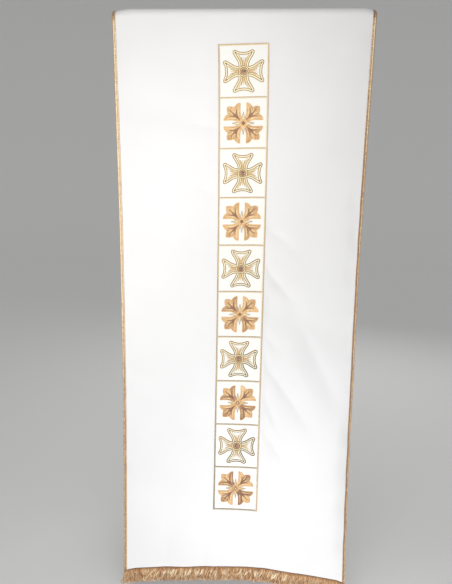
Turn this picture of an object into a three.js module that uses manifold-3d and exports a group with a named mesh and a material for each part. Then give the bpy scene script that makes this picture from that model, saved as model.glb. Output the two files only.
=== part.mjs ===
// Lectern cover: a long white cloth with a gold braid down both sides, a column of ten gold embroidered
// crosses framed by a gold ladder, and a fringe on the front hem. It hangs down the front, runs over a
// sloping top and hangs down the back. Millimetres, +Z up, the front faces -Y.
// The origin is under the cloth, in the middle of the front edge of the top.

import * as THREE from 'three';
import { mergeVertices } from 'three/addons/utils/BufferGeometryUtils.js';
import Module from 'manifold-3d';

const wasm = await Module();
wasm.setup();

// Sizes of the cloth
const CLOTH_WIDTH = 500;
const CLOTH_LENGTH = 2500;
const CLOTH_THICKNESS = 2;
const FRONT_DROP = 1181;
const PIECE_GAP = 0.3;

// The line that the cloth follows from front to back
const FRONT_EDGE_RADIUS = 12;
const REAR_EDGE_RADIUS = 15;
const TOP_LENGTH = 380;
const TOP_SLOPE = 25;

// How the front drop departs from a flat, upright sheet
const MIDDLE_SETBACK = 21;
const HEM_FORWARD = 17;
const RIGHT_CORNER_FORWARD = 17;
const RIGHT_CORNER_START = 60;
const CORNER_CURVE = 1.2;
const EDGE_SAG = 16;
const SAG_CENTRE = 30;
const SAG_CURVE = 1.3;
const TOP_SPREAD = 4;
const LEFT_OVERHANG = 35;
const RIGHT_OVERHANG = 22;
const OVERHANG_DROOP = 6;
const DROOP_CURVE = 1.6;

// How the side edges roll back: both of them just below the top, and the right one low down
const EDGE_ROLL_WIDTH = 34;
const TOP_ROLL = 4;
const TOP_ROLL_START = 40;
const TOP_ROLL_LENGTH = 100;
const RIGHT_ROLL = 9;
const RIGHT_ROLL_MIDDLE = 985;
const RIGHT_ROLL_LENGTH = 190;

// The embroidered band, its ladder and its crosses
const BAND_CENTRE = 3.6;
const BAND_WIDTH = 98.5;
const BAND_THICKNESS = 1;
const BAND_EASE = 14;
const CELL_COUNT = 10;
const CELL_HEIGHT = 98;
const FIRST_RUNG = 66;
const LADDER_WIDTH = 98;
const LADDER_LINE = 3.6;
const STITCH_HEIGHT = 0.8;
const CROSS_REACH = 39;
const CROSS_CORNER = 18;
const CROSS_WAIST = [13.6, 23.4];
const CROSS_NECK = 9;
const CROSS_CORNER_CUT = 5;
const CROSS_END_HOLLOW = 4.4;
const CROSS_OPENING = [
  [-2.8, 13],
  [-4.6, 15],
  [-11, 31],
  [11, 31],
  [4.6, 15],
  [2.8, 13],
  [0, 25],
];

// Half of a leaf, from the tip of the spike beside it to the middle of its outer lobe
const LEAF_HALF = [
  [0, 23],
  [2.8, 12],
  [6, 20],
  [6.2, 38.3],
  [12, 37],
  [17.5, 31],
  [23, 32.3],
  [31.6, 31.6],
];

// The side braids
const BRAID_WIDTH = 9;
const BRAID_HEIGHT = 2;
const BRAID_SECTION = [
  // place across the braid, height, both as shares, round the section
  [0, 0],
  [0, 0.45],
  [0.25, 1],
  [0.5, 0.6],
  [0.75, 1],
  [1, 0.45],
  [1, 0],
];

// The fringe
const STRAND_COUNT = 240;
const STRAND_RADIUS = 0.72;
const STRAND_SECTION = [90, -30, -150].map((turn) => {
  const angle = THREE.MathUtils.degToRad(turn);
  return [Math.cos(angle), Math.sin(angle)];
});
const STRAND_TIP_SHARE = 0.6;
const STRAND_LENGTH = 31;
const STRAND_UNEVENNESS = 1.6;
const STRAND_SWAY = 1.8;
const SWAY_WAVES = [41, 97, 59];
const LENGTH_WAVES = [613, 170];
const STRAND_END_INSET = 1.3;
const STRAND_ROOT_SHARE = 0.4;
const CORNER_FLARE = 4;
const FLARE_START = 0.94;
const HEADING_HEIGHT = 4;
const HEADING_THICKNESS = 2;

// Folds and dents of the front drop, right of the band, left of it and along the edges.
// across and down give the middle, tilt leans the fold's line to the right on its way down, in degrees,
// width and length are half sizes, and depth is positive towards the back.
const FRONT_FOLDS = [
  // across, down, tilt, width, length, depth
  [82, 439, 57, 15, 40, 2.5],
  [86, 540, 43, 14, 48, 4],
  [74, 664, 40, 12, 26, 2],
  [110, 780, 37, 14, 88, 5],
  [150, 756, 33, 20, 90, -2.5],
  [80, 828, 25, 12, 40, 2.5],
  [93, 909, 36, 14, 52, 3.5],
  [173, 704, 29, 18, 85, 3],
  [144, 616, 73, 34, 120, 4.5],
  [-150, 856, 78, 42, 85, 5],
  [-120, 934, 80, 38, 90, -3],
  [-215, 735, 60, 13, 32, 2.5],
  [-168, 186, 80, 26, 70, 3],
  [-72, 218, 82, 14, 34, 2],
  [-72, 346, 84, 14, 30, 2],
  [-154, 1134, 0, 17, 75, 1.75],
  [-108, 1144, 0, 17, 70, -1.25],
  [-66, 1132, 0, 15, 65, 1.5],
  [74, 1130, 0, 15, 70, 1.75],
  [128, 1144, 0, 20, 80, -1],
  [-246, 768, 0, 15, 18, 3],
  [-246, 950, 0, 15, 18, 3],
  [236, 362, 0, 15, 24, 2.5],
  [238, 436, 0, 15, 24, 3],
  [236, 510, 0, 15, 26, 2.5],
  [246, 854, 0, 18, 26, 4],
  [243, 936, 0, 20, 28, 5],
  [242, 1022, 0, 22, 30, 5.5],
  [244, 1108, 0, 22, 30, 6],
];

// Flutes of the back drop, with down counted from the rear edge of the top
const BACK_FOLDS = [
  // across, down, tilt, width, length, depth
  [-165, 900, 0, 50, 620, 9],
  [-40, 900, 0, 45, 560, -8],
  [75, 900, 0, 48, 600, 8],
  [200, 900, 0, 50, 620, -9],
];

// Colours and finishes
const WHITE_CLOTH = new THREE.MeshStandardMaterial({ color: '#f3f1ec', roughness: 0.78, metalness: 0 });
const BAND_SATIN = new THREE.MeshStandardMaterial({ color: '#fbf7ea', roughness: 0.55, metalness: 0 });
const PALE_GOLD = new THREE.MeshStandardMaterial({ color: '#d8c487', roughness: 0.45, metalness: 0.3 });
const CROSS_GOLD = new THREE.MeshStandardMaterial({ color: '#e2cf96', roughness: 0.45, metalness: 0.2 });
const LEAF_GOLD = new THREE.MeshStandardMaterial({ color: '#dca35c', roughness: 0.5, metalness: 0.1 });
const BRAID_GOLD = new THREE.MeshStandardMaterial({ color: '#c9a367', roughness: 0.45, metalness: 0.3 });
const FRINGE_GOLD = new THREE.MeshStandardMaterial({ color: '#b98e54', roughness: 0.5, metalness: 0.2 });

// Small helpers
const radians = THREE.MathUtils.degToRad;
const clampShare = (value) => THREE.MathUtils.clamp(value, 0, 1);
const smoothShare = (value) => THREE.MathUtils.smoothstep(value, 0, 1);

function evenSteps(start, end, count) {
  return Array.from({ length: count + 1 }, (_, i) => start + ((end - start) * i) / count);
}

// Lengths along the cloth. Down the front the place s is the depth below the top edge, and it falls
// through the front edge, the top and the rear edge to the back hem.
const EDGE_TURN = radians(90 + TOP_SLOPE);
const REAR_TURN = radians(90 - TOP_SLOPE);
const TOP_START = FRONT_EDGE_RADIUS - FRONT_EDGE_RADIUS * EDGE_TURN;
const TOP_END = TOP_START - TOP_LENGTH;
const BACK_START = TOP_END - REAR_EDGE_RADIUS * REAR_TURN;
const BACK_HEM = FRONT_DROP - CLOTH_LENGTH;
const BACK_DROP = BACK_START - BACK_HEM;

// The middle line of the cloth's underside, as [y, z]
function centreLine(s) {
  const radius = FRONT_EDGE_RADIUS;
  if (s >= radius) return [-radius, -s];
  const turned = Math.min((radius - s) / radius, EDGE_TURN);
  let y = -radius * Math.cos(turned);
  let z = radius * (Math.sin(turned) - 1);
  const slope = radians(TOP_SLOPE);
  const alongTop = THREE.MathUtils.clamp(TOP_START - s, 0, TOP_LENGTH);
  y += alongTop * Math.cos(slope);
  z -= alongTop * Math.sin(slope);
  const heading = slope + THREE.MathUtils.clamp((TOP_END - s) / REAR_EDGE_RADIUS, 0, REAR_TURN);
  y += REAR_EDGE_RADIUS * (Math.sin(heading) - Math.sin(slope));
  z -= REAR_EDGE_RADIUS * (Math.cos(slope) - Math.cos(heading));
  z -= Math.max(BACK_START - s, 0);
  return [y, z];
}

// Depth of a table of folds at one place, each a soft trough or ridge
function foldDepth(folds, across, down) {
  let depth = 0;
  for (const [foldAcross, foldDown, tilt, width, length, amount] of folds) {
    const right = across - foldAcross;
    const below = down - foldDown;
    const lean = radians(tilt);
    const along = (right * Math.sin(lean) + below * Math.cos(lean)) / length;
    const beside = (right * Math.cos(lean) - below * Math.sin(lean)) / width;
    depth += amount * Math.exp(-along * along - beside * beside);
  }
  return depth;
}

// How far the side edges roll back
function edgeRoll(across, s) {
  const reach = Math.max(Math.abs(across) - (CLOTH_WIDTH / 2 - EDGE_ROLL_WIDTH), 0) / EDGE_ROLL_WIDTH;
  const start = smoothShare((s - FRONT_EDGE_RADIUS) / TOP_ROLL_START);
  const top = TOP_ROLL * start * Math.exp(-((s / TOP_ROLL_LENGTH) ** 2));
  const right = RIGHT_ROLL * Math.exp(-(((s - RIGHT_ROLL_MIDDLE) / RIGHT_ROLL_LENGTH) ** 2));
  return (top + (across > 0 ? right : 0)) * reach ** 2;
}

// The cloth bows back at half height and comes forward at the hem, most at the right corner. The stiff
// band lies smooth, so that the folds start beside it.
function frontDepth(across, s) {
  const share = (s - FRONT_EDGE_RADIUS) / (FRONT_DROP - FRONT_EDGE_RADIUS);
  if (share <= 0) return 0;
  const cornerShare = Math.max(across - RIGHT_CORNER_START, 0) / (CLOTH_WIDTH / 2 - RIGHT_CORNER_START);
  const besideBand = (Math.abs(across - BAND_CENTRE) - BAND_WIDTH / 2) / BAND_EASE;
  return (
    MIDDLE_SETBACK * 4 * share * (1 - share) -
    HEM_FORWARD * share -
    RIGHT_CORNER_FORWARD * cornerShare ** CORNER_CURVE * share ** 3 +
    edgeRoll(across, s) +
    smoothShare(besideBand) * foldDepth(FRONT_FOLDS, across, s)
  );
}

function backDepth(across, s) {
  const down = BACK_START - s;
  if (down <= 0) return 0;
  return smoothShare(down / BACK_DROP) * foldDepth(BACK_FOLDS, across, down);
}

// The side strips overhang the top and droop
function droop(across) {
  const overhang = across < 0 ? LEFT_OVERHANG : RIGHT_OVERHANG;
  const share = clampShare((Math.abs(across) - (CLOTH_WIDTH / 2 - overhang)) / overhang);
  return OVERHANG_DROOP * share ** DROOP_CURVE;
}

// A point of the cloth's underside
function underside(across, s) {
  const share = clampShare(s / FRONT_DROP);
  const topShare = s > 0 ? 1 - share : clampShare(1 + s / TOP_LENGTH);
  const [y, z] = centreLine(s);
  const sag = EDGE_SAG * (Math.abs(across - SAG_CENTRE) / (CLOTH_WIDTH / 2)) ** SAG_CURVE * share;
  return new THREE.Vector3(
    across * (1 + (TOP_SPREAD / (CLOTH_WIDTH / 2)) * topShare ** 2),
    y + frontDepth(across, s) + backDepth(across, s),
    z - droop(across) - sag,
  );
}

function outward(across, s) {
  const step = 1;
  const alongCloth = underside(across, s + step).sub(underside(across, s - step));
  const acrossCloth = underside(across + step, s).sub(underside(across - step, s));
  return alongCloth.cross(acrossCloth).normalize();
}

// The cloth's grid: lines down the cloth at COLUMNS and across it at ROWS, from the front hem to the back
const HALF_WIDTH = CLOTH_WIDTH / 2;
const BRAID_INNER = HALF_WIDTH - BRAID_WIDTH;
const BAND_LEFT = BAND_CENTRE - BAND_WIDTH / 2;
const BAND_RIGHT = BAND_CENTRE + BAND_WIDTH / 2;
const QUARTER_CELL = CELL_HEIGHT / 4;
const LAST_RUNG = FIRST_RUNG + CELL_COUNT * CELL_HEIGHT;
const COLUMNS = [
  -HALF_WIDTH,
  ...evenSteps(-BRAID_INNER, BAND_LEFT, 6),
  BAND_CENTRE,
  ...evenSteps(BAND_RIGHT, BRAID_INNER, 8),
  HALF_WIDTH,
];
const BAND_ROWS = evenSteps(LAST_RUNG, FIRST_RUNG, CELL_COUNT * 4);
const ROWS = [
  ...evenSteps(FRONT_DROP, LAST_RUNG, 5),
  ...BAND_ROWS.slice(1),
  FIRST_RUNG - QUARTER_CELL,
  ...evenSteps(FRONT_EDGE_RADIUS, TOP_START, 6),
  ...evenSteps(TOP_START, TOP_END, 4).slice(1),
  ...evenSteps(TOP_END, BACK_START, 3).slice(1),
  ...evenSteps(BACK_START, BACK_HEM, 10).slice(1),
];

const gridPoints = COLUMNS.map((across) => ROWS.map((s) => underside(across, s)));
const gridNormals = COLUMNS.map((across) => ROWS.map((s) => outward(across, s)));

// The cell of an ascending or descending list that holds a value, and the share of the way through it
function locate(lines, value) {
  const rising = lines[1] > lines[0];
  let cell = 0;
  while (cell < lines.length - 2 && (rising ? value > lines[cell + 1] : value < lines[cell + 1])) {
    cell += 1;
  }
  return [cell, (value - lines[cell]) / (lines[cell + 1] - lines[cell])];
}

function blendCell(grid, i, j, right, along) {
  const near = grid[i][j].clone().lerp(grid[i + 1][j], right);
  const far = grid[i][j + 1].clone().lerp(grid[i + 1][j + 1], right);
  return near.lerp(far, along);
}

// A point at a height above the underside, on the facets of the cloth's own grid, so that what is sewn
// on lies evenly on the cloth
function onCloth(across, s, height) {
  const [i, right] = locate(COLUMNS, across);
  const [j, along] = locate(ROWS, s);
  const point = blendCell(gridPoints, i, j, right, along);
  const normal = blendCell(gridNormals, i, j, right, along);
  return point.addScaledVector(normal, height);
}

// Turns a list of triangle corners into a closed, indexed geometry
function closedGeometry(corners) {
  const geometry = new THREE.BufferGeometry();
  geometry.setAttribute('position', new THREE.Float32BufferAttribute(corners, 3));
  return mergeVertices(geometry, 1e-4);
}

// A layer over a grid of columns and rows. bottom and top give heights for a column's place, and kept
// picks the cells that are filled.
function layerGeometry(columns, rows, place, bottom, top, kept = () => true) {
  const corners = [];
  const at = (i, j, height) => place(columns[i], rows[j], height(i));
  const quad = (a, b, c, d) => {
    for (const point of [a, b, c, a, c, d]) corners.push(point.x, point.y, point.z);
  };
  const filled = (i, j) => i >= 0 && j >= 0 && i < columns.length - 1 && j < rows.length - 1 && kept(i, j);
  for (let i = 0; i < columns.length - 1; i += 1) {
    for (let j = 0; j < rows.length - 1; j += 1) {
      if (!filled(i, j)) continue;
      quad(at(i, j, top), at(i + 1, j, top), at(i + 1, j + 1, top), at(i, j + 1, top));
      quad(at(i, j, bottom), at(i, j + 1, bottom), at(i + 1, j + 1, bottom), at(i + 1, j, bottom));
      const wall = (i0, j0, i1, j1) =>
        quad(at(i0, j0, bottom), at(i1, j1, bottom), at(i1, j1, top), at(i0, j0, top));
      if (!filled(i, j - 1)) wall(i, j, i + 1, j);
      if (!filled(i + 1, j)) wall(i + 1, j, i + 1, j + 1);
      if (!filled(i, j + 1)) wall(i + 1, j + 1, i, j + 1);
      if (!filled(i - 1, j)) wall(i, j + 1, i, j);
    }
  }
  return closedGeometry(corners);
}

const constant = (height) => () => height;

// A closed body through a list of rings. The section holds a ring's points laid flat, clockwise to a
// viewer who looks along the sweep, and closes both ends.
function sweptGeometry(section, rings) {
  const corners = [];
  const triangle = (...points) => points.forEach((point) => corners.push(point.x, point.y, point.z));
  for (let level = 0; level < rings.length - 1; level += 1) {
    for (let corner = 0; corner < section.length; corner += 1) {
      const next = (corner + 1) % section.length;
      triangle(rings[level][corner], rings[level][next], rings[level + 1][corner]);
      triangle(rings[level][next], rings[level + 1][next], rings[level + 1][corner]);
    }
  }
  const outline = section.map(([x, y]) => new THREE.Vector2(x, y));
  const lastRing = rings[rings.length - 1];
  for (const [a, b, c] of THREE.ShapeUtils.triangulateShape(outline, [])) {
    triangle(rings[0][a], rings[0][b], rings[0][c]);
    triangle(lastRing[c], lastRing[b], lastRing[a]);
  }
  return closedGeometry(corners);
}

// A flat figure, drawn upright, raised on the band at one cell
function figureGeometry(figure, cell, height) {
  const middle = FIRST_RUNG + (cell + 0.5) * CELL_HEIGHT;
  const flat = new THREE.ExtrudeGeometry(figure, { depth: STITCH_HEIGHT, bevelEnabled: false });
  const position = flat.getAttribute('position');
  const corners = [];
  for (let i = 0; i < position.count; i += 1) {
    const lift = height + position.getZ(i);
    const point = onCloth(BAND_CENTRE + position.getX(i), middle - position.getY(i), lift);
    corners.push(point.x, point.y, point.z);
  }
  return closedGeometry(corners);
}

// Repeats the points of one arm, drawn up the page, round the four arms
function fourArms(points) {
  const turned = [];
  for (let arm = 0; arm < 4; arm += 1) {
    const turn = (-arm * Math.PI) / 2;
    const centre = new THREE.Vector2();
    for (const [x, y] of points) turned.push(new THREE.Vector2(x, y).rotateAround(centre, turn));
  }
  return turned;
}

// A cross with arms that widen to hollowed ends, open inside its outline, with a wedge in each arm
function outlinedCross() {
  const end = CROSS_REACH;
  const corner = CROSS_CORNER;
  const cut = CROSS_CORNER_CUT;
  const arm = [
    [-CROSS_NECK, CROSS_NECK],
    [-CROSS_WAIST[0], CROSS_WAIST[1]],
    [-corner - cut / 2, end - cut],
    [-corner + cut / 2, end],
    [-corner / 3, end - CROSS_END_HOLLOW],
    [corner / 3, end - CROSS_END_HOLLOW],
    [corner - cut / 2, end],
    [corner + cut / 2, end - cut],
    CROSS_WAIST,
  ];
  const figure = new THREE.Shape(fourArms(arm).reverse());
  const openings = fourArms(CROSS_OPENING);
  for (let start = 0; start < openings.length; start += CROSS_OPENING.length) {
    figure.holes.push(new THREE.Path(openings.slice(start, start + CROSS_OPENING.length)));
  }
  return figure;
}

// Four three-lobed leaves on the diagonals, with a thin spike between each two
function leafCross() {
  const mirrored = LEAF_HALF.slice(1, -1)
    .reverse()
    .map(([x, y]) => [y, x]);
  return new THREE.Shape(fourArms([...LEAF_HALF, ...mirrored]));
}

// The narrow heading that holds the fringe, just below the hem
function belowHem(across, drop, height) {
  const hem = onCloth(across, FRONT_DROP, height);
  const down = onCloth(across, FRONT_DROP, 0).sub(onCloth(across, FRONT_DROP - 1, 0)).normalize();
  return hem.addScaledVector(down, drop);
}

function headingGeometry() {
  const drops = [PIECE_GAP + HEADING_HEIGHT, PIECE_GAP];
  return layerGeometry(COLUMNS, drops, belowHem, constant(0), constant(HEADING_THICKNESS));
}

// One strand of three sides, rooted inside the heading and tapered to its tip. Neighbours sway together,
// in slow waves along the hem, so that they never meet.
function strandGeometry(index) {
  const share = index / (STRAND_COUNT - 1);
  const reach = HALF_WIDTH - STRAND_END_INSET;
  const across = -reach + 2 * reach * share;
  const swayX = STRAND_SWAY * (Math.sin(share * SWAY_WAVES[0]) + 0.5 * Math.sin(share * SWAY_WAVES[1] + 1));
  const swayY = STRAND_SWAY * Math.sin(share * SWAY_WAVES[2] + 2);
  const flare = CORNER_FLARE * Math.max(Math.abs(2 * share - 1) - FLARE_START, 0) / (1 - FLARE_START);
  const unevenness = Math.sin(share * LENGTH_WAVES[0] + 4 * Math.sin(share * LENGTH_WAVES[1]));
  const length = STRAND_LENGTH + STRAND_UNEVENNESS * unevenness;
  const root = belowHem(across, PIECE_GAP + HEADING_HEIGHT * STRAND_ROOT_SHARE, HEADING_THICKNESS / 2);
  const side = Math.sign(share - 0.5);
  const tip = root.clone().add(new THREE.Vector3(swayX + side * flare, swayY, -length));
  const ring = (centre, radius) =>
    STRAND_SECTION.map(([x, y]) => new THREE.Vector3(centre.x + radius * x, centre.y + radius * y, centre.z));
  const tipRadius = STRAND_RADIUS * STRAND_TIP_SHARE;
  return sweptGeometry(STRAND_SECTION, [ring(root, STRAND_RADIUS), ring(tip, tipRadius)]);
}

function solidOf(geometry) {
  const merged = mergeVertices(geometry, 1e-4);
  const vertProperties = Float32Array.from(merged.getAttribute('position').array);
  const triVerts = Uint32Array.from(merged.getIndex().array);
  return new wasm.Manifold(new wasm.Mesh({ numProp: 3, vertProperties, triVerts }));
}

function fringeGeometry() {
  const strands = Array.from({ length: STRAND_COUNT }, (_, index) => solidOf(strandGeometry(index)));
  const joined = wasm.Manifold.union([solidOf(headingGeometry()), ...strands]).getMesh();
  const geometry = new THREE.BufferGeometry();
  geometry.setAttribute('position', new THREE.BufferAttribute(joined.vertProperties, 3));
  geometry.setIndex(new THREE.BufferAttribute(joined.triVerts, 1));
  return geometry;
}

function braidGeometry(left) {
  const start = left ? -HALF_WIDTH : BRAID_INNER;
  const bottom = CLOTH_THICKNESS + PIECE_GAP;
  const pointAt = ([place, height], s) =>
    onCloth(start + place * BRAID_WIDTH, s, bottom + height * BRAID_HEIGHT);
  const rings = ROWS.map((s) => BRAID_SECTION.map((corner) => pointAt(corner, s)));
  return sweptGeometry(BRAID_SECTION, rings);
}

// A frame of two rails and eleven rungs, as one piece of gold line
function ladderGeometry(height) {
  const outer = LADDER_WIDTH / 2;
  const inner = outer - LADDER_LINE;
  const columns = [-outer, -inner, inner, outer].map((x) => BAND_CENTRE + x);
  const rows = [];
  const rungEdges = new Set();
  for (const s of BAND_ROWS) {
    const rung = Math.round((s - FIRST_RUNG) / CELL_HEIGHT);
    if (Math.abs(s - FIRST_RUNG - rung * CELL_HEIGHT) > 1e-6) {
      rows.push(s);
      continue;
    }
    rungEdges.add(rows.length);
    rows.push(s + LADDER_LINE / 2, s - LADDER_LINE / 2);
  }
  const kept = (i, j) => i !== 1 || rungEdges.has(j);
  return layerGeometry(columns, rows, onCloth, constant(height), constant(height + STITCH_HEIGHT), kept);
}

// The assembled cover
const cover = new THREE.Group();

function addPiece(name, geometry, material) {
  const piece = new THREE.Mesh(geometry, material);
  piece.name = name;
  cover.add(piece);
}

const bandBottom = CLOTH_THICKNESS + PIECE_GAP;
const stitchBottom = bandBottom + BAND_THICKNESS + PIECE_GAP;
const bandColumns = [BAND_LEFT, BAND_CENTRE, BAND_RIGHT];

addPiece('cloth', layerGeometry(COLUMNS, ROWS, onCloth, constant(0), constant(CLOTH_THICKNESS)), WHITE_CLOTH);
addPiece(
  'band',
  layerGeometry(bandColumns, BAND_ROWS, onCloth, constant(bandBottom), constant(bandBottom + BAND_THICKNESS)),
  BAND_SATIN,
);
addPiece('ladder', ladderGeometry(stitchBottom), PALE_GOLD);
for (let cell = 0; cell < CELL_COUNT; cell += 1) {
  const leafy = cell % 2 === 1;
  const name = `${leafy ? 'leaf_cross' : 'cross'}_${Math.floor(cell / 2) + 1}`;
  const figure = leafy ? leafCross() : outlinedCross();
  addPiece(name, figureGeometry(figure, cell, stitchBottom), leafy ? LEAF_GOLD : CROSS_GOLD);
}
addPiece('braid_left', braidGeometry(true), BRAID_GOLD);
addPiece('braid_right', braidGeometry(false), BRAID_GOLD);
addPiece('fringe', fringeGeometry(), FRINGE_GOLD);

export default cover;
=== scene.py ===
from math import ceil, cos, pi, radians, sin

import bpy
import numpy as np
from mathutils import Matrix, Vector


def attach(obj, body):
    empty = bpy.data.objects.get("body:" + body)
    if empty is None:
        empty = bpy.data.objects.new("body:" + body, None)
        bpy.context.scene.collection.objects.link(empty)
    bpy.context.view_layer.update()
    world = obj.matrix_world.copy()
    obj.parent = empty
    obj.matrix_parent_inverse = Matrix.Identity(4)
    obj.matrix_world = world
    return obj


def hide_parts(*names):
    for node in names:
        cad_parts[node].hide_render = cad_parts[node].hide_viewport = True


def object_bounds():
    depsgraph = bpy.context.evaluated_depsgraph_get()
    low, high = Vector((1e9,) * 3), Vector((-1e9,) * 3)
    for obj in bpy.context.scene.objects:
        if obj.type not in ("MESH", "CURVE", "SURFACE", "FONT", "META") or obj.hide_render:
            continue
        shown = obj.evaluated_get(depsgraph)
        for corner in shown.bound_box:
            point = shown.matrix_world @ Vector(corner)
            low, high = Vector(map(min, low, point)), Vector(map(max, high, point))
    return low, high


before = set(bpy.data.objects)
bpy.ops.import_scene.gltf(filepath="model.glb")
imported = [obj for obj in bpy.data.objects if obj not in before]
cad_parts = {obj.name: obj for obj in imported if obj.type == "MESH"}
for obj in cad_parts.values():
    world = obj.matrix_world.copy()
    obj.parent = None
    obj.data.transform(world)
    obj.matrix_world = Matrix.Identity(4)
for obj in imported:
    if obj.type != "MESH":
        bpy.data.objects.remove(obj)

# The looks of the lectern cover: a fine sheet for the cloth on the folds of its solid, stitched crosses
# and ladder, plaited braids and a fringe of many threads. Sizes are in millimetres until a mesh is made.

cad_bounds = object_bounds()
MM = 0.001
random = np.random.default_rng(20)

# Sizes shared with the solids
CLOTH_WIDTH = 500
CLOTH_LENGTH = 2500
CLOTH_THICKNESS = 2
FRONT_DROP = 1181
PIECE_GAP = 0.3
FRONT_EDGE_RADIUS = 12
REAR_EDGE_RADIUS = 15
TOP_LENGTH = 380
TOP_SLOPE = radians(25)
MIDDLE_SETBACK = 21
HEM_FORWARD = 17
RIGHT_CORNER_FORWARD = 17
RIGHT_CORNER_START = 60
CORNER_CURVE = 1.2
EDGE_SAG = 16
SAG_CENTRE = 30
SAG_CURVE = 1.3
TOP_SPREAD = 4
LEFT_OVERHANG = 35
RIGHT_OVERHANG = 22
OVERHANG_DROOP = 6
DROOP_CURVE = 1.6
EDGE_ROLL_WIDTH = 34
TOP_ROLL = 4
TOP_ROLL_START = 40
TOP_ROLL_LENGTH = 100
RIGHT_ROLL = 9
RIGHT_ROLL_MIDDLE = 985
RIGHT_ROLL_LENGTH = 190
BAND_CENTRE = 3.6
BAND_WIDTH = 98.5
BAND_EASE = 14
CELL_COUNT = 10
CELL_HEIGHT = 98
FIRST_RUNG = 66
LADDER_WIDTH = 98
LADDER_LINE = 3.6
BRAID_WIDTH = 9
STRAND_LENGTH = 31
CORNER_FLARE = 4

HALF_WIDTH = CLOTH_WIDTH / 2
BRAID_INNER = HALF_WIDTH - BRAID_WIDTH
EDGE_TURN = pi / 2 + TOP_SLOPE
REAR_TURN = pi / 2 - TOP_SLOPE
TOP_START = FRONT_EDGE_RADIUS - FRONT_EDGE_RADIUS * EDGE_TURN
TOP_END = TOP_START - TOP_LENGTH
BACK_START = TOP_END - REAR_EDGE_RADIUS * REAR_TURN
BACK_HEM = FRONT_DROP - CLOTH_LENGTH
BACK_DROP = BACK_START - BACK_HEM
BAND_LENGTH = CELL_COUNT * CELL_HEIGHT
LAST_RUNG = FIRST_RUNG + BAND_LENGTH

# Folds of the front drop, as in the solids: across, down, tilt in degrees, half width, half length, depth
FRONT_FOLDS = [
    (82, 439, 57, 15, 40, 2.5),
    (86, 540, 43, 14, 48, 4),
    (74, 664, 40, 12, 26, 2),
    (110, 780, 37, 14, 88, 5),
    (150, 756, 33, 20, 90, -2.5),
    (80, 828, 25, 12, 40, 2.5),
    (93, 909, 36, 14, 52, 3.5),
    (173, 704, 29, 18, 85, 3),
    (144, 616, 73, 34, 120, 4.5),
    (-150, 856, 78, 42, 85, 5),
    (-120, 934, 80, 38, 90, -3),
    (-215, 735, 60, 13, 32, 2.5),
    (-168, 186, 80, 26, 70, 3),
    (-72, 218, 82, 14, 34, 2),
    (-72, 346, 84, 14, 30, 2),
    (-154, 1134, 0, 17, 75, 1.75),
    (-108, 1144, 0, 17, 70, -1.25),
    (-66, 1132, 0, 15, 65, 1.5),
    (74, 1130, 0, 15, 70, 1.75),
    (128, 1144, 0, 20, 80, -1),
    (-246, 768, 0, 15, 18, 3),
    (-246, 950, 0, 15, 18, 3),
    (236, 362, 0, 15, 24, 2.5),
    (238, 436, 0, 15, 24, 3),
    (236, 510, 0, 15, 26, 2.5),
    (246, 854, 0, 18, 26, 4),
    (243, 936, 0, 20, 28, 5),
    (242, 1022, 0, 22, 30, 5.5),
    (244, 1108, 0, 22, 30, 6),
]

# Fine creases that only the looks have, in the same columns
FINE_CREASES = [
    (80, 437, 57, 6, 30, 1.2),
    (84, 538, 43, 6, 36, 1.8),
    (72, 662, 40, 6, 20, 1.0),
    (94, 757, 37, 6, 42, 2.2),
    (138, 819, 36, 9, 34, 1.0),
    (78, 826, 25, 6, 34, 1.2),
    (90, 906, 36, 6, 38, 1.7),
    (160, 680, 29, 9, 44, 0.8),
    (190, 738, 29, 9, 40, 0.8),
    (-64, 218, 84, 7, 22, 0.9),
    (-66, 346, 86, 7, 20, 0.9),
    (-68, 474, 88, 7, 18, 0.6),
    (-64, 644, 95, 7, 20, 0.6),
    (-217, 737, 62, 7, 26, 1.0),
    (-205, 1004, 40, 9, 40, 0.7),
    (60, 984, 60, 7, 24, 0.7),
]

# Flutes of the back drop, with down counted from the rear edge of the top
BACK_FOLDS = [
    (-165, 900, 0, 50, 620, 9),
    (-40, 900, 0, 45, 560, -8),
    (75, 900, 0, 48, 600, 8),
    (200, 900, 0, 50, 620, -9),
]

# The looks alone have what follows. How far the low side edges of the front are drawn inwards, and where
EDGE_PULL = 1.3
EDGE_PULL_START = 100
EDGE_PULL_LENGTH = 500

# Small ripples along the braids: how far in they reach, their depth, and the depth added low on the right
PUCKER_REACH = 26
PUCKER_DEPTH = 0.3
RIGHT_PUCKER_DEPTH = 0.5
RIGHT_PUCKER_START = 300
RIGHT_PUCKER_LENGTH = 700
PUCKER_EASE = 60

# The faint waves of a cloth that has been folded and pressed: depth, across, down, phase
SLOW_WAVES = [(0.5, 47, 131, 0.7), (0.4, 29, -83, 2.1), (0.3, 17, 61, 4.0)]
FRONT_WAVE_SHARE = 0.6
CREASE_EASE = 6


# The surface of the cloth
def smooth_share(value):
    share = np.clip(value, 0, 1)
    return share * share * (3 - 2 * share)


def centre_line(s):
    turned = np.clip((FRONT_EDGE_RADIUS - s) / FRONT_EDGE_RADIUS, 0, EDGE_TURN)
    y = -FRONT_EDGE_RADIUS * np.cos(turned)
    z = FRONT_EDGE_RADIUS * (np.sin(turned) - 1) - np.maximum(s - FRONT_EDGE_RADIUS, 0)
    along_top = np.clip(TOP_START - s, 0, TOP_LENGTH)
    y = y + along_top * cos(TOP_SLOPE)
    z = z - along_top * sin(TOP_SLOPE)
    heading = TOP_SLOPE + np.clip((TOP_END - s) / REAR_EDGE_RADIUS, 0, REAR_TURN)
    y = y + REAR_EDGE_RADIUS * (np.sin(heading) - sin(TOP_SLOPE))
    z = z - REAR_EDGE_RADIUS * (cos(TOP_SLOPE) - np.cos(heading))
    return y, z - np.maximum(BACK_START - s, 0)


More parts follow.
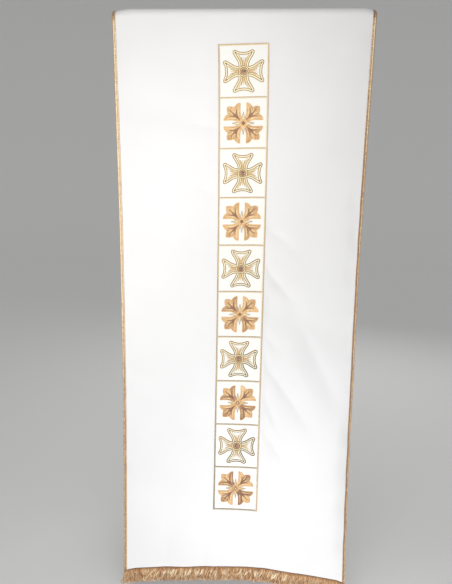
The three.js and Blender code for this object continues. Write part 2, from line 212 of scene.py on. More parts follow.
def fold_depth(folds, across, down):
    depth = np.zeros_like(across)
    for fold_across, fold_down, tilt, width, length, amount in folds:
        lean = radians(tilt)
        right = across - fold_across
        below = down - fold_down
        along = (right * sin(lean) + below * cos(lean)) / length
        beside = (right * cos(lean) - below * sin(lean)) / width
        depth = depth + amount * np.exp(-along * along - beside * beside)
    return depth


def edge_roll(across, s):
    reach = np.maximum(np.abs(across) - (HALF_WIDTH - EDGE_ROLL_WIDTH), 0) / EDGE_ROLL_WIDTH
    start = smooth_share((s - FRONT_EDGE_RADIUS) / TOP_ROLL_START)
    top = TOP_ROLL * start * np.exp(-((s / TOP_ROLL_LENGTH) ** 2))
    low = RIGHT_ROLL * np.exp(-(((s - RIGHT_ROLL_MIDDLE) / RIGHT_ROLL_LENGTH) ** 2))
    return (top + np.where(across > 0, low, 0)) * reach**2


def seam_puckers(across, s):
    """Small ripples where the braid gathers the edge, strongest low on the right."""
    inward = np.clip((BRAID_INNER + 4 - np.abs(across)) / PUCKER_REACH, 0, 1)
    fade = np.exp(-6 * inward * inward)
    added = RIGHT_PUCKER_DEPTH * smooth_share((s - RIGHT_PUCKER_START) / RIGHT_PUCKER_LENGTH)
    strength = PUCKER_DEPTH + np.where(across > 0, added, 0)
    wave = np.sin(s / 5.1 + 1.7 * np.sin(s / 31)) * 0.6 + np.sin(s / 9.3 + 1 + across * 0.01) * 0.4
    return fade * strength * wave


def slow_unevenness(across, s):
    return sum(depth * np.sin(across / right + s / down + phase) for depth, right, down, phase in SLOW_WAVES)


def front_depth(across, s):
    share = (s - FRONT_EDGE_RADIUS) / (FRONT_DROP - FRONT_EDGE_RADIUS)
    corner = np.maximum(across - RIGHT_CORNER_START, 0) / (HALF_WIDTH - RIGHT_CORNER_START)
    from_band = np.abs(across - BAND_CENTRE) - BAND_WIDTH / 2
    depth = MIDDLE_SETBACK * 4 * share * (1 - share) - HEM_FORWARD * share
    depth = depth - RIGHT_CORNER_FORWARD * corner**CORNER_CURVE * np.maximum(share, 0) ** 3
    depth = depth + edge_roll(across, s)
    folds = fold_depth(FRONT_FOLDS, across, s) + slow_unevenness(across, s) * FRONT_WAVE_SHARE
    depth = depth + smooth_share(from_band / BAND_EASE) * folds
    depth = depth + smooth_share(from_band / CREASE_EASE) * fold_depth(FINE_CREASES, across, s)
    depth = depth + seam_puckers(across, s) * smooth_share((s - 20) / PUCKER_EASE)
    return np.where(share > 0, depth, 0)


def back_depth(across, s):
    down = BACK_START - s
    depth = fold_depth(BACK_FOLDS, across, down) + slow_unevenness(across, s)
    depth = smooth_share(down / BACK_DROP) * depth
    depth = depth + seam_puckers(across, s) * smooth_share(down / PUCKER_EASE)
    return np.where(down > 0, depth, 0)


def droop(across):
    overhang = np.where(across < 0, LEFT_OVERHANG, RIGHT_OVERHANG)
    share = np.clip((np.abs(across) - (HALF_WIDTH - overhang)) / overhang, 0, 1)
    return OVERHANG_DROOP * share**DROOP_CURVE


def underside(across, s):
    share = np.clip(s / FRONT_DROP, 0, 1)
    top_share = np.where(s > 0, 1 - share, np.clip(1 + s / TOP_LENGTH, 0, 1))
    y, z = centre_line(s)
    sag = EDGE_SAG * (np.abs(across - SAG_CENTRE) / HALF_WIDTH) ** SAG_CURVE * share
    x = across * (1 + (TOP_SPREAD / HALF_WIDTH) * top_share**2)
    pull = EDGE_PULL * np.sign(across) * (across / HALF_WIDTH) ** 6
    x = x - pull * smooth_share((s - EDGE_PULL_START) / EDGE_PULL_LENGTH)
    y = y + front_depth(across, s) + back_depth(across, s)
    return np.stack([x, y, z - droop(across) - sag], axis=-1)


def unit(vectors):
    return vectors / np.maximum(np.linalg.norm(vectors, axis=-1, keepdims=True), 1e-9)


def outward(across, s):
    along = underside(across, s + 1) - underside(across, s - 1)
    sideways = underside(across + 1, s) - underside(across - 1, s)
    return unit(np.cross(along, sideways))


def on_cloth(across, s, height):
    """Points at a height above the underside, and the cloth's normals there."""
    across, s, height = np.broadcast_arrays(*(np.asarray(v, float) for v in (across, s, height)))
    normals = outward(across, s)
    return underside(across, s) + normals * height[..., None], normals


# The band is sewn on a little askew: its rungs tilt and its middle line drifts
BAND_TILT = 0.03
BAND_DRIFT = (-1.4, 2.6)


def on_band(right, down, height):
    """Points over the band, from flat places right of its middle line and down from the cloth's top."""
    right, down = np.broadcast_arrays(np.asarray(right, float), np.asarray(down, float))
    share = np.clip((down - FIRST_RUNG) / BAND_LENGTH, 0, 1)
    drift = BAND_DRIFT[0] + BAND_DRIFT[1] * np.sin(pi * share**0.6)
    tilt = BAND_TILT * (2 * share - 1)
    return on_cloth(BAND_CENTRE + drift + right, down + tilt * right, height)


# Mesh helpers
SHEET_SHARP = 60
THREAD_SHARP = 80


def add_to_scene(name, data):
    thing = bpy.data.objects.new(name, data)
    bpy.context.scene.collection.objects.link(thing)
    return thing


def make_object(name, points, faces, material, sharp, tone=None, uv=None):
    """A mesh object in metres. sharp is in degrees, tone a value and uv a pair for each point."""
    mesh = bpy.data.meshes.new(name)
    mesh.from_pydata((points * MM).tolist(), [], faces)
    mesh.polygons.foreach_set("use_smooth", [True] * len(mesh.polygons))
    mesh.set_sharp_from_angle(angle=radians(sharp))
    if tone is not None:
        tones = np.ravel(tone).astype(np.float32)
        mesh.attributes.new("tone", "FLOAT", "POINT").data.foreach_set("value", tones)
    if uv is not None:
        corners = np.empty(len(mesh.loops), dtype=np.int32)
        mesh.loops.foreach_get("vertex_index", corners)
        flat = np.ravel(uv[corners]).astype(np.float32)
        mesh.uv_layers.new(name="weave").data.foreach_set("uv", flat)
    mesh.materials.append(material)
    mesh.update()
    return add_to_scene(name, mesh)


def sheet_faces(columns, rows):
    """Quads of a closed sheet: the outer grid's points come first, then the inner grid's."""
    index = np.arange(columns * rows).reshape(columns, rows)
    a, b, c, d = index[:-1, :-1], index[1:, :-1], index[1:, 1:], index[:-1, 1:]
    outer = np.stack([a, b, c, d], axis=-1).reshape(-1, 4)
    inner = np.stack([a, d, c, b], axis=-1).reshape(-1, 4) + columns * rows
    ring = np.concatenate([index[:-1, 0], index[-1, :-1], index[:0:-1, -1], index[0, :0:-1]])
    following = np.roll(ring, -1)
    walls = np.stack([following, ring, ring + columns * rows, following + columns * rows], axis=-1)
    return np.concatenate([outer, inner, walls]).tolist()


def sheet_object(name, columns, rows, bottom, top, material, place=on_cloth):
    """A closed sheet over a grid of columns and rows, between two heights above the underside."""
    across, s = np.meshgrid(columns, rows, indexing="ij")
    outer = place(across, s, np.broadcast_to(top, across.shape))[0]
    inner = place(across, s, np.broadcast_to(bottom, across.shape))[0]
    points = np.concatenate([outer.reshape(-1, 3), inner.reshape(-1, 3)])
    flat = np.stack([across, s], axis=-1).reshape(-1, 2) * MM
    faces = sheet_faces(len(columns), len(rows))
    return make_object(name, points, faces, material, SHEET_SHARP, uv=np.concatenate([flat, flat]))


LOW_THREAD = np.array([(-1.0, 0.0), (0.0, 1.0), (1.0, 0.0)])
ROUND_THREAD = np.array([(0.0, 1.0), (0.87, -0.5), (-0.87, -0.5)])


def thread_points(points, normals, width, height, section, taper):
    """Rings of a section along many threads at once: points has the shape threads, steps, 3."""
    along = unit(np.gradient(points, axis=1))
    right = unit(np.cross(along, normals))
    up = np.cross(right, along)
    width = np.asarray(width, float).reshape(-1, 1) * taper
    height = np.asarray(height, float).reshape(-1, 1) * taper
    rings = points[:, :, None, :]
    rings = rings + right[:, :, None, :] * (width[:, :, None] * section[:, 0])[..., None]
    return rings + up[:, :, None, :] * (height[:, :, None] * section[:, 1])[..., None]


def thread_faces(count, steps, sides, closed):
    """Faces along threads. A thread that isn't closed has no underside, as it lies on the cloth."""
    index = np.arange(count * steps * sides).reshape(count, steps, sides)
    near, far = index[:, :-1], index[:, 1:]
    quads = np.stack([near, np.roll(near, -1, 2), np.roll(far, -1, 2), far], axis=-1)
    if not closed:
        return quads[:, :, :-1].reshape(-1, 4).tolist()
    starts = index[:, 0, ::-1].reshape(-1, sides)
    ends = index[:, -1].reshape(-1, sides)
    return quads.reshape(-1, 4).tolist() + starts.tolist() + ends.tolist()


def thread_object(name, batches, material, section=LOW_THREAD):
    """One mesh of many threads. Each batch is points, normals, width, height, taper and tone."""
    all_points, all_faces, all_tones, first = [], [], [], 0
    for points, normals, width, height, taper, tone in batches:
        count, steps = points.shape[:2]
        rings = thread_points(points, normals, width, height, section, np.asarray(taper, float))
        faces = thread_faces(count, steps, len(section), section is ROUND_THREAD)
        all_points.append(rings.reshape(-1, 3))
        all_faces += [[corner + first for corner in face] for face in faces]
        along_thread = tone if np.ndim(tone) == 2 else np.broadcast_to(tone, count)[:, None]
        each_ring = np.broadcast_to(along_thread, (count, steps))
        all_tones.append(np.repeat(each_ring.ravel(), len(section)))
        first += count * steps * len(section)
    points, tones = np.concatenate(all_points), np.concatenate(all_tones)
    return make_object(name, points, all_faces, material, THREAD_SHARP, tone=tones)


# Stitches, drawn flat in millimetres and laid on the band
FILL_PITCH = 0.66
LONGEST_STITCH = 7.0
STITCH_WIDTH = 0.36
STITCH_THICKNESS = 0.28
STITCH_TAPER = [0.75, 1, 1, 0.75]
BRAID_TAPER = [0.8, 1, 1, 0.8]


def resample(line, pitch, closed=False):
    """Even places along a line of points, with the direction at each and the share of the way along."""
    line = np.asarray(line, float)
    if closed:
        line = np.concatenate([line, line[:1]])
    lengths = np.concatenate([[0], np.cumsum(np.linalg.norm(np.diff(line, axis=0), axis=1))])
    total = lengths[-1]
    count = max(int(round(total / pitch)), 2)
    places = (np.arange(count) + 0.5) * total / count

    def at(distances):
        distances = distances % total if closed else np.clip(distances, 0, total)
        return np.stack([np.interp(distances, lengths, line[:, k]) for k in (0, 1)], axis=1)

    reach = pitch * 1.5
    return at(places), unit(at(places + reach) - at(places - reach)), places / total


def satin_line(line, width, pitch=0.6, slant=0.15, closed=False):
    """Stitches across a line, as pairs of ends. width is a size or a function of the share along."""
    points, along, share = resample(line, pitch, closed)
    half = (width(share) if callable(width) else np.full(len(points), width)) / 2
    side = np.stack([-along[:, 1], along[:, 0]], axis=1) + along * slant
    side = side * half[:, None]
    jitter = random.normal(0, 0.05, (len(points), 1))
    return np.stack([points - side * (1 + jitter), points + side * (1 - jitter)], axis=1)


def inside_spans(polygon, angle, pitch):
    """The parts of parallel lines that lie inside a polygon, as pairs of ends."""
    turn = np.array([[cos(angle), sin(angle)], [-sin(angle), cos(angle)]])
    turned = np.asarray(polygon, float) @ turn.T
    following = np.roll(turned, -1, axis=0)
    spans = []
    for level in np.arange(turned[:, 1].min() + pitch / 2, turned[:, 1].max(), pitch):
        crossing = (turned[:, 1] > level) != (following[:, 1] > level)
        a, b = turned[crossing], following[crossing]
        xs = np.sort(a[:, 0] + (level - a[:, 1]) * (b[:, 0] - a[:, 0]) / (b[:, 1] - a[:, 1]))
        for start, end in zip(xs[::2], xs[1::2]):
            if end - start > 0.5:
                spans.append([(start, level), (end, level)])
    return np.array(spans).reshape(-1, 2, 2) @ turn


def fill_stitches(polygon, angle):
    """Parallel stitches that fill a polygon, with long ones split at staggered places."""
    stitches = []
    for start, end in inside_spans(polygon, angle, FILL_PITCH):
        length = np.linalg.norm(end - start)
        parts = max(int(ceil(length / LONGEST_STITCH)), 1)
        cuts = [0.0] + [(k + random.uniform(-0.25, 0.25)) / parts for k in range(1, parts)] + [1.0]
        stitches += [[start + (end - start) * a, start + (end - start) * b] for a, b in zip(cuts, cuts[1:])]
    return np.array(stitches).reshape(-1, 2, 2)


def rounded(points, steps=6, closed=False):
    """A smooth line through points."""
    points = np.asarray(points, float)
    count = len(points)
    out = []
    for k in range(count if closed else count - 1):
        near = [(k + d) % count if closed else min(max(k + d, 0), count - 1) for d in (-1, 0, 1, 2)]
        p0, p1, p2, p3 = points[near]
        for t in np.arange(steps) / steps:
            bend = (2 * p0 - 5 * p1 + 4 * p2 - p3) * t * t + (3 * p1 - p0 - 3 * p2 + p3) * t**3
            out.append(0.5 * (2 * p1 + (p2 - p0) * t + bend))
    if not closed:
        out.append(points[-1])
    return np.array(out)


def quarter_turns(flat):
    """Four copies of flat points or stitches, turned about the middle."""
    turns = ((1, 0), (0, 1), (-1, 0), (0, -1))
    return [np.asarray(flat) @ np.array([[c, s], [-s, c]]) for c, s in turns]


def eight_copies(flat):
    """The four turns of a figure and of its mirror image."""
    return quarter_turns(flat) + quarter_turns(np.asarray(flat) * np.array([-1, 1]))


def circle(radius, count=40):
    turns = np.arange(count) * 2 * pi / count
    return np.stack([np.sin(turns), np.cos(turns)], axis=1) * radius


def offset_line(line, distance):
    """A closed line moved to its right-hand side, point by point."""
    ahead = unit(np.roll(line, -1, axis=0) - line)
    behind = unit(line - np.roll(line, 1, axis=0))
    along = unit(ahead + behind)
    right = np.stack([along[:, 1], -along[:, 0]], axis=1)
    sharpness = np.clip((ahead * along).sum(axis=1), 0.45, 1)
    return line + right * (distance / sharpness)[:, None]


def lay_stitches(stitches, middle, base, rise, tone, spread=0.06, width=STITCH_WIDTH):
    """Turns flat stitches of one cell into a batch of threads, each a low arch over the band."""
    start, end = stitches[:, 0], stitches[:, 1]
    flat = np.stack([start, start * 0.75 + end * 0.25, start * 0.25 + end * 0.75, end], axis=1)
    heights = base + rise * np.array([0.0, 0.85, 0.85, 0.0])
    points, normals = on_band(flat[..., 0], middle - flat[..., 1], heights)
    tones = np.clip(tone + random.normal(0, spread, len(stitches)), 0, 1)
    return points, normals, width, STITCH_THICKNESS, STITCH_TAPER, tones


def lay_as(row, stitches, middle, down_share):
    """Lays stitches as a row of the tables says. The share down the cover is 0 in the top cell and 1 in the
    lowest, and the tone change it scales is painted light and shade.
    """
    lift, rise, tone, change, *spread = row
    stitches = np.concatenate(stitches)
    return lay_stitches(stitches, middle, STITCH_BASE + lift, rise, tone + change * down_share, *spread)


# Materials
def new_material(name, roughness, sheen):
    material = bpy.data.materials.new(name)
    material.use_nodes = True
    nodes, links = material.node_tree.nodes, material.node_tree.links
    shader = nodes["Principled BSDF"]
    shader.inputs["Roughness"].default_value = roughness
    shader.inputs["Sheen Weight"].default_value = sheen
    return material, nodes, links, shader


def noise(nodes, links, coordinates, scale, detail=2.0):
    node = nodes.new("ShaderNodeTexNoise")
    node.inputs["Scale"].default_value = scale
    node.inputs["Detail"].default_value = detail
    links.new(coordinates, node.inputs["Vector"])
    return node.outputs["Fac"]


def ramp(nodes, links, source, stops):
    """A colour ramp. Each stop is a place and a colour: share, red, green, blue."""
    node = nodes.new("ShaderNodeValToRGB")
    elements = node.color_ramp.elements
    while len(elements) < len(stops):
        elements.new(0.5)
    for element, (share, *colour) in zip(elements, stops):
        element.position = share
        element.color = (*colour, 1)
    links.new(source, node.inputs["Fac"])
    return node.outputs["Color"]


def add_bump(nodes, links, shader, sources):
    """Chains bumps: each source is a height output, a strength and a distance in metres."""
    normal = None
    for height, strength, distance in sources:
        bump = nodes.new("ShaderNodeBump")
        bump.inputs["Strength"].default_value = strength
        bump.inputs["Distance"].default_value = distance
        links.new(height, bump.inputs["Height"])
        if normal is not None:
            links.new(normal, bump.inputs["Normal"])
        normal = bump.outputs["Normal"]
    links.new(normal, shader.inputs["Normal"])


WAVES_PER_METRE = 0.314
WEAVE_BUMP, WEAVE_RELIEF = 0.3, 0.00012
SLUB_SCALE, SLUB_BUMP = 350.0, 0.12
THREAD_GRAIN, GRAIN_BUMP, GRAIN_TONE = 900.0, 0.25, 0.3
THREAD_RELIEF = 0.0002


def woven_material(name, dark, light, thread, roughness, sheen):
    """Woven cloth: crossing threads in the cloth's own directions, with faint unevenness of colour."""
    material, nodes, links, shader = new_material(name, roughness, sheen)
    uv = nodes.new("ShaderNodeUVMap")
    uv.uv_map = "weave"
    objects = nodes.new("ShaderNodeTexCoord").outputs["Object"]
    waves = []
    for direction in ("X", "Y"):
        wave = nodes.new("ShaderNodeTexWave")
        wave.bands_direction = direction
        wave.inputs["Scale"].default_value = WAVES_PER_METRE / thread
        wave.inputs["Distortion"].default_value = 0.6
        wave.inputs["Detail Scale"].default_value = 2.0
        links.new(uv.outputs["UV"], wave.inputs["Vector"])
        waves.append(wave.outputs["Fac"])
    crossing = nodes.new("ShaderNodeMath")
    crossing.operation = "MULTIPLY"
    links.new(waves[0], crossing.inputs[0])
    links.new(waves[1], crossing.inputs[1])
    shade = noise(nodes, links, objects, 5.0, 3.0)
    colour = ramp(nodes, links, shade, [(0.3, *dark), (0.7, *light)])
    links.new(colour, shader.inputs["Base Color"])
    weave = (crossing.outputs[0], WEAVE_BUMP, WEAVE_RELIEF)
    slubs = (noise(nodes, links, objects, SLUB_SCALE), SLUB_BUMP, THREAD_RELIEF)
    add_bump(nodes, links, shader, [weave, slubs])
    shader.inputs["Sheen Roughness"].default_value = 0.5
    return material


def thread_material(name, stops, roughness=0.45, sheen=0.2):
    """Embroidery or braid thread: each thread's tone picks its colour, and a fine grain breaks it up."""
    material, nodes, links, shader = new_material(name, roughness, sheen)
    tone = nodes.new("ShaderNodeAttribute")
    tone.attribute_name = "tone"
    objects = nodes.new("ShaderNodeTexCoord").outputs["Object"]
    grainy = noise(nodes, links, objects, THREAD_GRAIN)
    lowered = nodes.new("ShaderNodeMath")
    lowered.operation = "SUBTRACT"
    lowered.inputs[1].default_value = GRAIN_TONE / 2
    links.new(tone.outputs["Fac"], lowered.inputs[0])
    mix = nodes.new("ShaderNodeMath")
    mix.operation = "MULTIPLY_ADD"
    mix.inputs[1].default_value = GRAIN_TONE
    links.new(grainy, mix.inputs[0])
    links.new(lowered.outputs[0], mix.inputs[2])
    links.new(ramp(nodes, links, mix.outputs[0], stops), shader.inputs["Base Color"])
    add_bump(nodes, links, shader, [(grainy, GRAIN_BUMP, THREAD_RELIEF)])
    return material


WHITE_CLOTH = woven_material("white_cloth", (0.84, 0.832, 0.833), (0.88, 0.872, 0.873), 0.00045, 0.62, 0.2)
BAND_SATIN = woven_material("band_satin", (0.93, 0.915, 0.865), (0.95, 0.94, 0.9), 0.0003, 0.5, 0.1)
CROSS_GOLD = thread_material(
    "cross_gold",
    [(0, 0.58, 0.38, 0.12), (0.35, 0.92, 0.68, 0.28), (0.65, 1, 0.87, 0.48), (1, 1, 0.96, 0.73)],
    0.4,
)
CROSS_EDGE = thread_material("cross_edge", [(0, 0.1, 0.02, 0), (1, 0.5, 0.22, 0.015)], 0.7, 0)
CROSS_ORANGE = thread_material(
    "cross_orange", [(0, 0.34, 0.16, 0.06), (0.5, 0.78, 0.5, 0.2), (1, 1, 0.82, 0.46)]
)
LEAF_GOLD = thread_material(
    "leaf_gold",
    [(0, 0.3, 0.14, 0.07), (0.35, 0.68, 0.4, 0.19), (0.65, 0.94, 0.63, 0.31), (1, 1, 0.87, 0.5)],
    0.4,
)
VEIN_BROWN = thread_material("vein_brown", [(0, 0.2, 0.085, 0.05), (1, 0.52, 0.27, 0.17)], 0.5)
CORE_PURPLE = thread_material("core_purple", [(0, 0.12, 0.07, 0.07), (1, 0.8, 0.5, 0.38)])
LADDER_PALE = thread_material(
    "ladder_pale", [(0, 0.4, 0.34, 0.25), (0.5, 0.82, 0.7, 0.48), (1, 1, 0.92, 0.7)]
)
LADDER_TAN = thread_material(
    "ladder_tan", [(0, 0.2, 0.17, 0.13), (0.5, 0.6, 0.43, 0.27), (1, 0.92, 0.66, 0.42)]
)
BRAID_PALE = thread_material(
    "braid_pale",
    [(0, 0.28, 0.16, 0.1), (0.4, 0.78, 0.52, 0.29), (0.7, 1, 0.8, 0.52), (1, 1, 0.92, 0.74)],
    0.35,
)
BRAID_BROWN = thread_material("braid_brown", [(0, 0.12, 0.07, 0.035), (1, 0.42, 0.25, 0.12)], 0.55)
BRAID_TAPE = thread_material("braid_tape", [(0, 0.38, 0.24, 0.13), (1, 0.3, 0.2, 0.1)], 0.55)
FRINGE_TAN = thread_material(
    "fringe_tan",
    [(0, 0.2, 0.085, 0.035), (0.35, 0.5, 0.27, 0.12), (0.7, 0.8, 0.48, 0.23), (1, 1, 0.88, 0.64)],
)
HEM_THREAD = thread_material("hem_thread", [(0, 0.72, 0.71, 0.68), (1, 0.86, 0.85, 0.82)], 0.6)


def place(piece, slot, *nodes):
    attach(piece, "root")
    if nodes:
        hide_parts(*nodes)
    return piece


def place_all(main, details, slot, node):
    return [place(main, slot, node), *(place(detail, slot) for detail in details)]


# The cloth
CLOTH_BACK = 0.8
BACK_HEM_FOLD = 18.0
HEM_STITCH_LINE = 15.0
HEM_RELIEF = 0.35


def graded(start, *stretches):
    """Places along the cloth from a start on, in stretches of end and pitch."""
    places = [start]
    for end, pitch in stretches:
        steps = max(int(round(abs(end - places[-1]) / pitch)), 1)
        places += list(np.linspace(places[-1], end, steps + 1)[1:])
    return np.array(places)


def make_cloth():
    band_left, band_right = BAND_CENTRE - BAND_WIDTH / 2, BAND_CENTRE + BAND_WIDTH / 2
    columns = graded(
        -HALF_WIDTH,
        (-BRAID_INNER, 4.5),
        (band_left, 5.2),
        (band_right, 12.3),
        (band_right + 8, 2.7),
        (BRAID_INNER, 4),
        (HALF_WIDTH, 4.5),
    )
    rows = graded(
        FRONT_DROP,
        (40, 5),
        (FRONT_EDGE_RADIUS, 4),
        (TOP_START, 1.6),
        (TOP_END, 13),
        (BACK_START, 2),
        (BACK_HEM + BACK_HEM_FOLD + 4, 13),
        (BACK_HEM, 2),
    )
    across, s = np.meshgrid(columns, rows, indexing="ij")
    from_hem = s - BACK_HEM
    turned_hem = smooth_share((BACK_HEM_FOLD + 0.6 - from_hem) / 1.2)
    stitch_line = np.exp(-(((from_hem - HEM_STITCH_LINE) / 1.2) ** 2))
    top = CLOTH_THICKNESS + HEM_RELIEF * turned_hem - HEM_RELIEF * stitch_line
    return sheet_object("cloth_sheet", columns, rows, CLOTH_BACK - 0.3 * turned_hem, top, WHITE_CLOTH)


def make_hem_stitches():
    """The row of stitches that holds the turned hem of the back drop."""
    starts = np.arange(-BRAID_INNER + 2, BRAID_INNER - 2, 3.2)
    flat = starts[:, None] + np.array([0, 0.8, 1.6, 2.4])
    heights = CLOTH_THICKNESS + np.array([-0.25, 0.1, 0.1, -0.25])
    points, normals = on_cloth(flat, BACK_HEM + HEM_STITCH_LINE, heights)
    tones = random.uniform(0.2, 0.9, len(flat))
    batch = (points, normals, 0.28, 0.22, BRAID_TAPER, tones)
    return thread_object("back_hem_stitches", [batch], HEM_THREAD)


# The band and its ladder
BAND_LOW = CLOTH_THICKNESS + 0.1
BAND_HIGH = CLOTH_THICKNESS + PIECE_GAP + 0.7
STITCH_BASE = BAND_HIGH - 0.05
BAND_INSET = 0.6


def make_band():
    half = BAND_WIDTH / 2 - BAND_INSET
    columns = np.linspace(-half, half, 23)
    rows = np.linspace(LAST_RUNG + BAND_INSET, FIRST_RUNG - BAND_INSET, 221)
    return sheet_object("band_satin_strip", columns, rows, BAND_LOW, BAND_HIGH, BAND_SATIN, on_band)


def make_ladder():
    """Each line of the ladder is a pale line beside a tan one. Their tones are painted shade, darker down
    the cover and different on each rail.
    """
    half = LADDER_WIDTH / 2
    wide = LADDER_LINE / 2
    bottom = -BAND_LENGTH
    pale, tan = [], []

    def line(start, end):
        return satin_line([start, end], wide * 0.98, pitch=0.72, slant=0.55)

    for side in (-1, 1):
        outer, inner = side * (half - wide / 2), side * (half - wide * 1.5)
        tan.append(line((outer, wide), (outer, bottom - wide)))
        pale.append(line((inner, wide), (inner, bottom - wide)))
    for rung in range(CELL_COUNT + 1):
        middle = -rung * CELL_HEIGHT
        ends = half - LADDER_LINE
        tan.append(line((-ends, middle + wide / 2), (ends, middle + wide / 2)))
        pale.append(line((-ends, middle - wide / 2), (ends, middle - wide / 2)))
    made = []
    for name, lines, material in (("ladder_pale", pale, LADDER_PALE), ("ladder_tan", tan, LADDER_TAN)):
        stitches = np.concatenate(lines)
        share = -stitches[:, 0, 1] / BAND_LENGTH
        right = stitches[:, 0, 0]
        # Painted shade: the rails and rungs darken down the cover, each rail by its own measure
        left_tone, right_tone = 0.52 - 0.44 * share**2, 0.85 - 0.9 * share + 0.65 * share**2
        on_rails = [right < LADDER_LINE - half, right > half - LADDER_LINE]
        tone = np.select(on_rails, [left_tone, right_tone], 0.76 - 0.58 * share)
        batch = lay_stitches(stitches, FIRST_RUNG, STITCH_BASE, 0.55, tone)
        made.append(thread_object(name, [batch], material))
    return made


# The outlined crosses, drawn with one arm up the page
CROSS_SIDE = [(-9, 9), (-9.4, 12.5), (-10.9, 17.5), (-13.8, 22.8), (-17.2, 28.2), (-20.4, 34.2)]
CROSS_TIP = [(-20.4, 34.2), (-20.3, 37.4), (-17.6, 39.2), (-14.4, 38.6)]
CROSS_END = [(-14.4, 38.6), (-9, 36.2), (0, 35.1), (9, 36.2), (14.4, 38.6)]
CROSS_LINES = [
    ([(-4.0, 9.5), (-4.4, 14), (-7.0, 22), (-9.9, 28), (-11.6, 30.9)], 1.9),
    ([(-3.6, 17.5), (-4.8, 22), (-7.3, 28), (-8.4, 30.2)], 1.3),
]
CROSS_GAPS = [
    ([(-4.4, 18), (-5.8, 22), (-8.5, 28), (-9.8, 30.6)], 0.45),
    ([(-2.6, 10), (-2.8, 15), (-3.6, 22), (-4.9, 26)], 0.8),
]
CROSS_WEDGE = [(0, 9), (0, 17), (0, 26)]
CROSS_PRONG = [(-1.0, 10), (-1.6, 16), (-2.9, 22.5)]
CORNER_KNOT = (-15.4, 35.3)
RING_RADII = (10.2, 7.4)

# Lines along the outline: how far inside it and how wide, each with its change down to the lowest cell
OUTLINE_EDGES = [(0.2, 0, 1.1, 1.2), (4.0, -0.6, 1.0, 0.3)]
OUTLINE_FILL = (2.1, -0.3, 2.9, -0.6)

# How the stitches lie: lift, rise, tone, its change down to the lowest cell, and its spread if unusual. The
# change is painted light and shade: lower cells get darker rings, wedges, edges and core and paler fills and
# lines
CROSS_ROWS = {
    "fill": (0, 0.6, 0.9, 0.1),
    "lines": (0, 0.5, 0.82, 0.1),
    "ring": (0, 0.95, 0.85, -0.1),
    "gaps": (0, 0.45, 0.85, -0.2),
    "ring edges": (0.45, 0.5, 0.5, -0.3),
    "knots": (0.4, 0.4, 0.25, 0),
    "wedges": (0, 0.6, 0.62, -0.2),
    "inner ring": (0, 0.9, 0.5, -0.25, 0.2),
    "core": (0, 0.8, 0.4, -0.15, 0.28),
}


def couched(line, width, pitch=0.85, closed=False):
    """A thread sewn down along a line, as short stitches that slant."""
    return satin_line(line, width, pitch, 1.2, closed)


def cross_outline():
    mirror = np.array([-1, 1])
    side, tip = rounded(CROSS_SIDE, 5), rounded(CROSS_TIP, 4)
    half = np.concatenate([side[:-1], tip[:-1]])
    arm = np.concatenate([half, rounded(CROSS_END, 4), (half * mirror)[::-1][:-1]])
    return np.concatenate(quarter_turns(arm)[::-1])


def make_cross(name, middle, down_share):
    """A cross whose lines are finer, and whose gold takes more painted shade, the further down the cover it
    lies.
    """
    outline = cross_outline()

    def along_outline(inside, inside_change, width, width_change):
        return offset_line(outline, inside + inside_change * down_share), width + width_change * down_share

    def batch(kind, stitches):
        return lay_as(CROSS_ROWS[kind], stitches, middle, down_share)

    edge = np.concatenate([couched(*along_outline(*row), closed=True) for row in OUTLINE_EDGES])
    fill = [satin_line(*along_outline(*OUTLINE_FILL), closed=True)]
    lines, gaps = [], []
    for line, width in CROSS_LINES:
        width = width * (0.9 - 0.6 * down_share)
        lines += [satin_line(copy, width, pitch=0.65) for copy in eight_copies(rounded(line))]
    for line, width in CROSS_GAPS:
        width = width * (1 - 0.4 * down_share)
        gaps += [couched(copy, width) for copy in eight_copies(rounded(line))]
    # Painted shade: the outline darkens lower on the cover, most along the lower right side of each arm
    lower_right = (edge[:, 0, 0] - edge[:, 0, 1]) / 50
    edge_shade_tone = 0.75 - down_share * (0.7 + 0.5 * lower_right)
    wedges = [satin_line(copy, lambda t: 2.6 - 1.9 * t) for copy in quarter_turns(CROSS_WEDGE)]
    wedges += [satin_line(copy, lambda t: 1.5 - 0.9 * t) for copy in eight_copies(rounded(CROSS_PRONG))]
    knot = circle(0.95 + 0.25 * down_share, 10)
    knots = [fill_stitches(knot + corner, 0.5) for corner in eight_copies([CORNER_KNOT])]
    batches = [
        batch("fill", fill),
        batch("lines", lines),
        batch("ring", [satin_line(circle(8.8), 2.3, closed=True)]),
    ]
    cross = thread_object(f"{name}_stitches", batches, CROSS_GOLD)
    ring_edges = [couched(circle(r), 0.75 + 0.4 * down_share, 0.8, closed=True) for r in RING_RADII]
    batches = [
        lay_stitches(edge, middle, STITCH_BASE, 0.45, edge_shade_tone),
        batch("gaps", gaps),
        batch("ring edges", ring_edges),
        batch("knots", knots),
    ]
    edges = thread_object(f"{name}_edges", batches, CROSS_EDGE)
    batches = [batch("wedges", wedges), batch("inner ring", [satin_line(circle(6.0), 2.2, closed=True)])]
    wedges = thread_object(f"{name}_wedges", batches, CROSS_ORANGE)
    core_batch = batch("core", [fill_stitches(circle(4.8, 24), 0.4)])
    core = thread_object(f"{name}_core", [core_batch], CORE_PURPLE)
    return cross, [edges, wedges, core]


